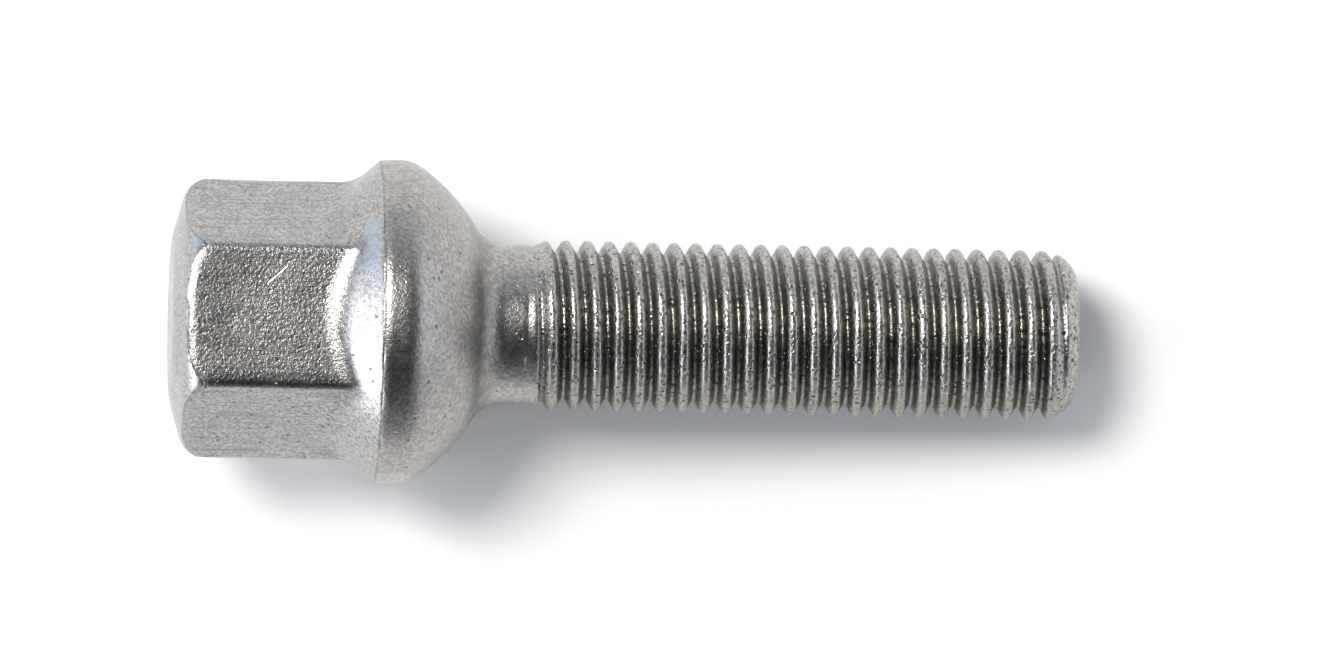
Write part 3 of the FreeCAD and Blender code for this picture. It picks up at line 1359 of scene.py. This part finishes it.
@dataclass
class Studio:
    """The floor, the light and the camera, laid out in the photograph's frame."""

    placement: Placement
    sizes: BoltSizes
    photo_size: tuple = (1323.0, 659.0)
    head_pixel: tuple = (171.5, 317.4)
    tip_pixel: tuple = (1073.3, 336.0)
    camera_distance: float = 0.75
    camera_lean: float = math.radians(2.2)
    clip_start: float = 0.01
    floor_half: float = 2.0
    floor_colour: tuple = (0.55, 0.55, 0.55, 1.0)
    floor_roughness: float = 0.9
    panels: tuple = (
        Panel("key_light", place=(-0.335, 0.290, 0.857), width=0.44, height=0.44, power=10.0,
              colour=(1.0, 0.99, 0.97), falls_on=LitSurface.METAL),
        Panel("left_light", place=(-0.60, -0.13, 0.07), width=0.44, height=0.12, power=0.60,
              colour=(1.0, 1.0, 1.0), falls_on=LitSurface.METAL),
        Panel("floor_key", place=(-0.310, 0.290, 0.870), width=0.40, height=0.40, power=11.9,
              colour=(1.0, 0.99, 0.97), falls_on=LitSurface.FLOOR),
        Panel("floor_side", place=(-0.58, 0.17, 0.25), width=0.30, height=0.20, power=3.7,
              colour=(1.0, 1.0, 1.0), falls_on=LitSurface.FLOOR),
        Panel("floor_fill", place=(0.0, 0.0, 0.80), width=2.0, height=2.0, power=8.2,
              colour=(0.95, 0.98, 1.0), falls_on=LitSurface.FLOOR),
    )
    sky_colour: tuple = (0.92, 0.97, 1.08, 1.0)
    seen_colour: tuple = (1.0, 1.0, 1.0, 1.0)
    horizon: float = 0.84
    overhead: float = 0.07
    horizon_reach: tuple = (0.35, 0.75)
    glows: tuple = (
        Glow((0.05, -0.60, 0.80), inner=math.radians(18.0), outer=math.radians(42.0), inside=0.35),
        Glow((0.25, -0.95, 0.20), inner=math.radians(18.0), outer=math.radians(50.0), inside=0.42),
        Glow((-0.76, -0.64, 0.12), inner=math.radians(12.0), outer=math.radians(38.0), inside=1.9),
        Glow((-0.97, -0.13, 0.05), inner=math.radians(15.0), outer=math.radians(36.0), inside=4.6),
        Glow((0.96, 0.20, 0.20), inner=math.radians(15.0), outer=math.radians(45.0), inside=1.7),
    )

    def add_floor(self) -> bpy.types.Object:
        """The plain floor that the bolt lies on in the photograph, seen only from the bolt's side.

        Returns:
            The floor's object.
        """
        half = self.floor_half
        corners = [(-half, -half, 0.0), (half, -half, 0.0), (half, half, 0.0), (-half, half, 0.0)]
        mesh = bpy.data.meshes.new("floor")
        mesh.from_pydata(corners, [], [(0, 1, 2, 3)])
        floor = bpy.data.objects.new("floor", mesh)
        floor.matrix_world = self.placement.photo_matrix()
        bpy.context.scene.collection.objects.link(floor)
        material = bpy.data.materials.new("pale_floor")
        material.use_nodes = True
        sketch = NodeSketch(material.node_tree)
        shader = material.node_tree.nodes["Principled BSDF"]
        shader.inputs["Base Color"].default_value = self.floor_colour
        shader.inputs["Roughness"].default_value = self.floor_roughness
        shader.inputs["Specular IOR Level"].default_value = 0.0
        see_through = sketch.node("ShaderNodeBsdfTransparent").outputs[0]
        behind = sketch.node("ShaderNodeNewGeometry").outputs["Backfacing"]
        one_sided = sketch.blend(behind, shader.outputs[0], see_through)
        sketch.feed(material.node_tree.nodes["Material Output"].inputs["Surface"], one_sided)
        mesh.materials.append(material)
        return floor

    def add_panels(self, lit: dict[LitSurface, bpy.types.Object]) -> None:
        """The soft lights, each linked to the one object that it falls on.

        Args:
            lit: The object that stands for each surface.
        """
        receivers = {}
        for surface, piece in lit.items():
            receivers[surface] = bpy.data.collections.new(f"lit_{surface.name.lower()}")
            receivers[surface].objects.link(piece)
        for panel in self.panels:
            light = bpy.data.lights.new(panel.name, "AREA")
            light.shape = "ELLIPSE"
            light.size = panel.width
            light.size_y = panel.height
            light.energy = panel.power
            light.color = panel.colour
            holder = bpy.data.objects.new(panel.name, light)
            holder.visible_camera = False
            holder.light_linking.receiver_collection = receivers[panel.falls_on]
            place = Vector(panel.place)
            turn = (-place).to_track_quat("-Z", "Y").to_matrix().to_4x4()
            holder.matrix_world = self.placement.photo_matrix() @ Matrix.Translation(place) @ turn
            bpy.context.scene.collection.objects.link(holder)

    def add_surroundings(self) -> None:
        """White surroundings, dim overhead and uneven round about. The camera sees plain white."""
        world = bpy.data.worlds.new("studio")
        world.use_nodes = True
        sketch = NodeSketch(world.node_tree)
        turn = self.placement.photo_matrix().to_3x3()
        way = sketch.node("ShaderNodeTexCoord").outputs["Generated"]
        height = sketch.measure("DOT_PRODUCT", way, tuple(turn @ Vector((0.0, 0.0, 1.0))))
        strength = sketch.ramp(height, *self.horizon_reach, self.horizon, self.overhead)
        for glow in self.glows:
            near = sketch.measure("DOT_PRODUCT", way, tuple(turn @ Vector(glow.towards).normalized()))
            change = sketch.ramp(near, math.cos(glow.outer), math.cos(glow.inner), 1.0, glow.inside)
            strength = sketch.product(strength, change)
        background = world.node_tree.nodes["Background"]
        background.inputs["Color"].default_value = self.sky_colour
        sketch.feed(background.inputs["Strength"], strength)
        white = sketch.node("ShaderNodeBackground", self.seen_colour).outputs[0]
        seen = sketch.node("ShaderNodeLightPath").outputs["Is Camera Ray"]
        surroundings = sketch.blend(seen, background.outputs[0], white)
        sketch.feed(world.node_tree.nodes["World Output"].inputs["Surface"], surroundings)
        bpy.context.scene.world = world

    def add_camera(self) -> None:
        """The photograph's camera, looking down on the lying bolt."""
        lying = self.placement.lying_matrix()
        head, tip = lying @ Vector((0.0, 0.0, 0.0)), lying @ Vector((self.sizes.length, 0.0, 0.0))
        run = Vector(self.tip_pixel) - Vector(self.head_pixel)
        roll = math.atan2(run.y, run.x)
        view = Vector((-math.sin(self.camera_lean), 0.0, -math.cos(self.camera_lean)))
        level = Vector((0.0, 1.0, 0.0))
        across = view.cross(level).normalized()
        right = across * math.cos(roll) + level * math.sin(roll)
        up = right.cross(view).normalized()
        scale = run.length / (tip - head).dot(across)
        centre = (Vector(self.head_pixel) + Vector(self.tip_pixel)) / 2
        offset = Vector(self.photo_size) / 2 - centre
        target = (head + tip) / 2 + right * (offset.x / scale) - up * (offset.y / scale)
        camera = bpy.data.cameras.new("camera")
        camera.sensor_fit = "HORIZONTAL"
        camera.lens = camera.sensor_width * scale * self.camera_distance / self.photo_size[0]
        camera.clip_start = self.clip_start
        holder = bpy.data.objects.new("camera", camera)
        place = self.placement.frame(right, up, -view, target - view * self.camera_distance)
        holder.matrix_world = self.placement.photo_matrix() @ place
        bpy.context.scene.collection.objects.link(holder)
        bpy.context.scene.camera = holder


def main() -> None:
    """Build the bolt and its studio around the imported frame."""
    logging.basicConfig(level=logging.INFO, format="%(name)s: %(message)s")
    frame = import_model()
    sizes = BoltSizes()
    placement = Placement(frame["record"], sizes)
    bolt_maker = WheelBolt(placement, sizes)
    bolt = bolt_maker.build()
    bolt_maker.dress(bolt)
    LOG.info("%s: %d faces", bolt.name, len(bolt.data.polygons))
    studio = Studio(placement, sizes)
    floor = studio.add_floor()
    studio.add_panels({LitSurface.FLOOR: floor, LitSurface.METAL: bolt})
    studio.add_surroundings()
    studio.add_camera()
    LOG.info("%s, lights, surroundings and camera in the photograph's frame", floor.name)
    bpy.context.scene.view_settings.view_transform = "Standard"
    bpy.context.view_layer.update()


if __name__ == "__main__":
    main()
